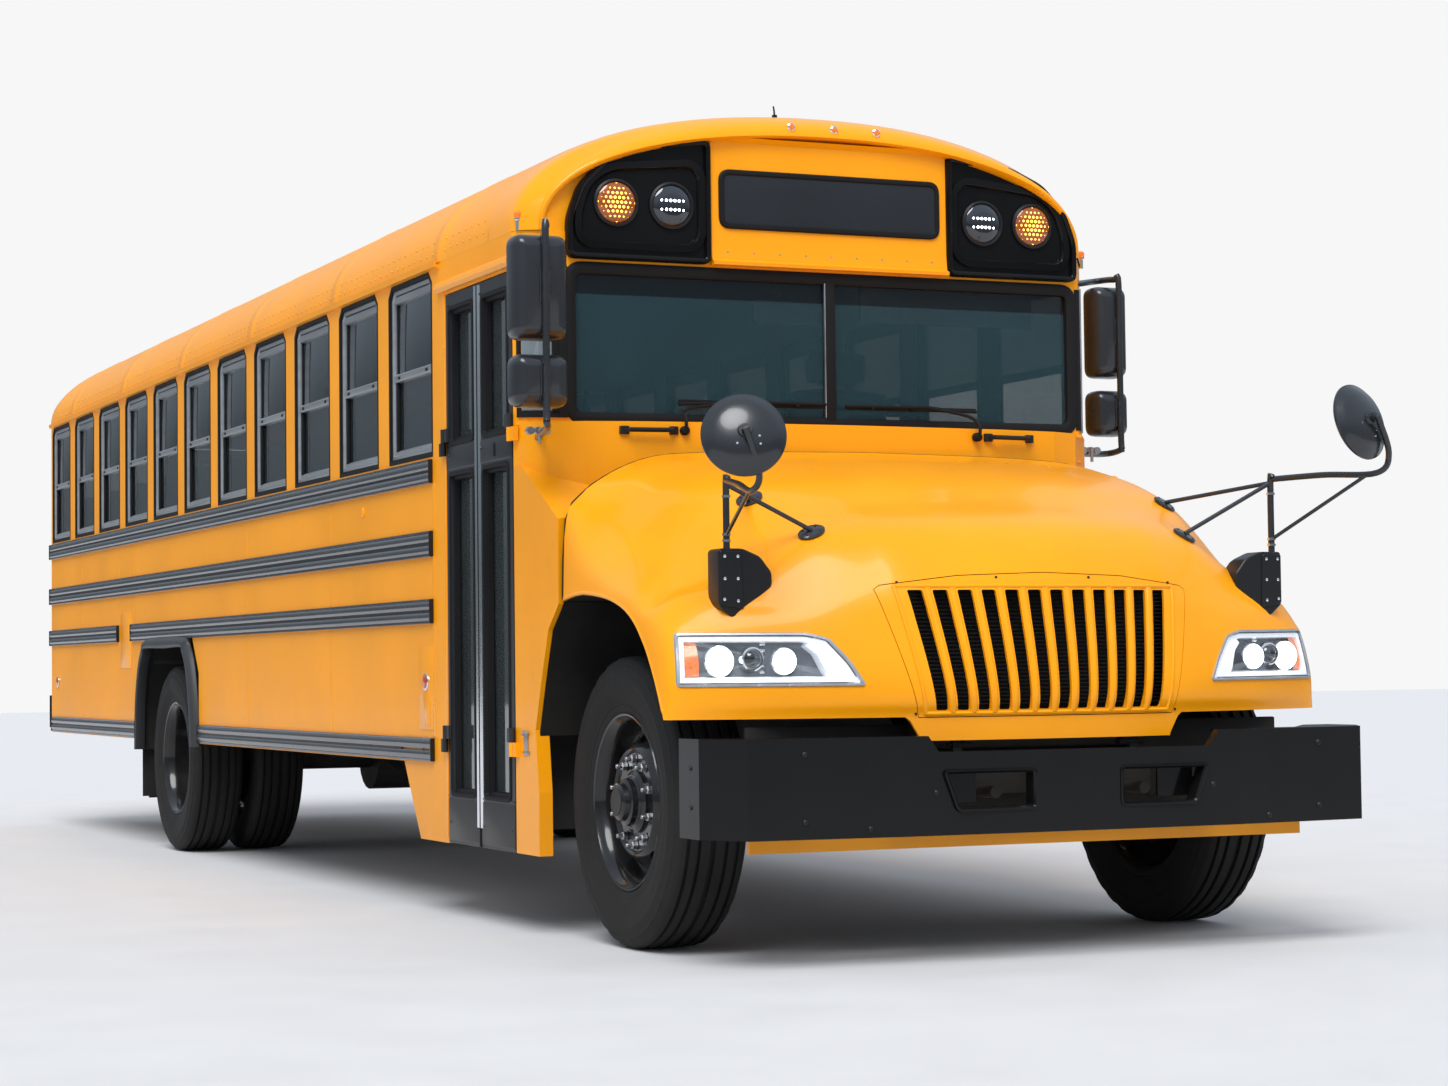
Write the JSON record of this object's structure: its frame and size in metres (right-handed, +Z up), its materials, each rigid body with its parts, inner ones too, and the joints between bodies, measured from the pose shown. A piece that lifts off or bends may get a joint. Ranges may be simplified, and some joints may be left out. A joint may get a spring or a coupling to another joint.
{
  "type": "school bus",
  "caption": "Conventional school bus with a sloping tilt-forward hood, two-leaf entry door, domed roof, benches inside, twin rear wheels, rear emergency door and side stop arm.",
  "frame": {"origin": "on the ground under the middle of the whole bus, front bumper to rear bumper", "axes": "-Y towards the front of the bus, +X towards the driver's side, +Z up"},
  "size_m": [2.77, 10.66, 2.99],
  "materials": {
    "bus_yellow": "gloss",
    "roof_white": "satin",
    "black_paint": "gloss",
    "black_plastic": "satin",
    "chassis_black": "matte",
    "cast_iron": "matte",
    "tyre_rubber": "matte",
    "tinted_glass": "clear",
    "clear_lens": "clear",
    "seat_vinyl": "satin",
    "floor_rubber": "matte",
    "stop_red": "satin"
  },
  "bodies": {
    "chassis": {"frame_rails": "chassis_black", "front_axle": "cast_iron", "rear_axle": "cast_iron", "engine": "cast_iron", "propshaft": "chassis_black", "fuel_tank": "chassis_black", "air_tank": "chassis_black", "exhaust": "cast_iron", "front_bumper": "black_paint", "front_valance": "bus_yellow", "rear_bumper": "black_paint", "side_wall_right": "bus_yellow", "side_glass_right": "tinted_glass", "side_wall_left": "bus_yellow", "side_glass_left": "tinted_glass", "cowl": "bus_yellow", "windscreen": "tinted_glass", "roof": "roof_white", "front_cap": "bus_yellow", "rear_cap": "bus_yellow", "warning_lamps_right": "black_paint", "warning_lamps_left": "black_paint", "sign_panel": "black_plastic", "rear_glass_right": "tinted_glass", "rear_glass_left": "tinted_glass", "rear_wall": "bus_yellow", "floor": "floor_rubber", "step_well": "floor_rubber", "seats_right": "seat_vinyl", "seats_left": "seat_vinyl", "driver_seat": "seat_vinyl", "dashboard": "black_plastic", "side_mirror_right": "black_plastic", "side_mirror_left": "black_plastic"},
    "hood": {"hood": "bus_yellow", "grille": "bus_yellow", "headlight_right": "clear_lens", "headlight_left": "clear_lens", "hood_mirror_right": "black_plastic", "hood_mirror_left": "black_plastic"},
    "entry_door_front": {"entry_door_front": "black_plastic", "entry_glass_front": "tinted_glass"},
    "entry_door_rear": {"entry_door_rear": "black_plastic", "entry_glass_rear": "tinted_glass"},
    "emergency_door": {"emergency_door": "bus_yellow", "emergency_glass": "tinted_glass"},
    "stop_arm": {"stop_arm": "stop_red"},
    "steering_wheel": {"steering_wheel": "black_plastic"},
    "steer_right": {"knuckle_right": "cast_iron"},
    "front_wheel_right": {"front_tyre_right": "tyre_rubber", "front_rim_right": "black_paint"},
    "rear_wheel_right": {"rear_tyre_outer_right": "tyre_rubber", "rear_tyre_inner_right": "tyre_rubber", "rear_rims_right": "black_paint"},
    "steer_left": {"knuckle_left": "cast_iron"},
    "front_wheel_left": {"front_tyre_left": "tyre_rubber", "front_rim_left": "black_paint"},
    "rear_wheel_left": {"rear_tyre_outer_left": "tyre_rubber", "rear_tyre_inner_left": "tyre_rubber", "rear_rims_left": "black_paint"}
  },
  "joints": [
    {"name": "steer_left", "type": "hinge", "parent": "chassis", "child": "steer_left", "pos_m": [0.84, -4.27, 0.485], "axis": [0, 0, 1], "range_deg": [-35, 35]},
    {"name": "steer_right", "type": "hinge", "parent": "chassis", "child": "steer_right", "pos_m": [-0.84, -4.27, 0.485], "axis": [0, 0, 1], "range_deg": [-35, 35]},
    {"name": "front_wheel_spin_left", "type": "hinge", "parent": "steer_left", "child": "front_wheel_left", "pos_m": [0.995, -4.27, 0.485], "axis": [1, 0, 0], "continuous": true},
    {"name": "rear_wheel_spin_left", "type": "hinge", "parent": "chassis", "child": "rear_wheel_left", "pos_m": [0.905, 1.93, 0.485], "axis": [1, 0, 0], "continuous": true},
    {"name": "front_wheel_spin_right", "type": "hinge", "parent": "steer_right", "child": "front_wheel_right", "pos_m": [-0.995, -4.27, 0.485], "axis": [1, 0, 0], "continuous": true},
    {"name": "rear_wheel_spin_right", "type": "hinge", "parent": "chassis", "child": "rear_wheel_right", "pos_m": [-0.905, 1.93, 0.485], "axis": [1, 0, 0], "continuous": true},
    {"name": "hood_tilt", "type": "hinge", "parent": "chassis", "child": "hood", "pos_m": [0, -5.12, 0.675], "axis": [1, 0, 0], "range_deg": [0, 60]},
    {"name": "entry_door_front_swing", "type": "hinge", "parent": "chassis", "child": "entry_door_front", "pos_m": [-1.235, -3.502, 0.28], "axis": [0, 0, 1], "range_deg": [0, 88]},
    {"name": "entry_door_rear_swing", "type": "hinge", "parent": "chassis", "child": "entry_door_rear", "pos_m": [-1.235, -2.753, 0.28], "axis": [0, 0, -1], "range_deg": [0, 88]},
    {"name": "emergency_door_swing", "type": "hinge", "parent": "chassis", "child": "emergency_door", "pos_m": [-0.342, 5.242, 1.04], "axis": [0, 0, 1], "range_deg": [0, 105]},
    {"name": "stop_arm_swing", "type": "hinge", "parent": "chassis", "child": "stop_arm", "pos_m": [1.256, -2.37, 1.5], "axis": [0, 0, -1], "range_deg": [0, 90]},
    {"name": "steering_wheel_turn", "type": "hinge", "parent": "chassis", "child": "steering_wheel", "pos_m": [0.6, -3.07, 1.74], "axis": [0, 0.5, 0.866], "range_deg": [-500, 500]}
  ],
  "couplings": [
    {"joint": "steer_right", "follows": "steer_left", "ratio": 1},
    {"joint": "steering_wheel_turn", "follows": "steer_left", "ratio": 14},
    {"joint": "entry_door_rear_swing", "follows": "entry_door_front_swing", "ratio": 1}
  ]
}
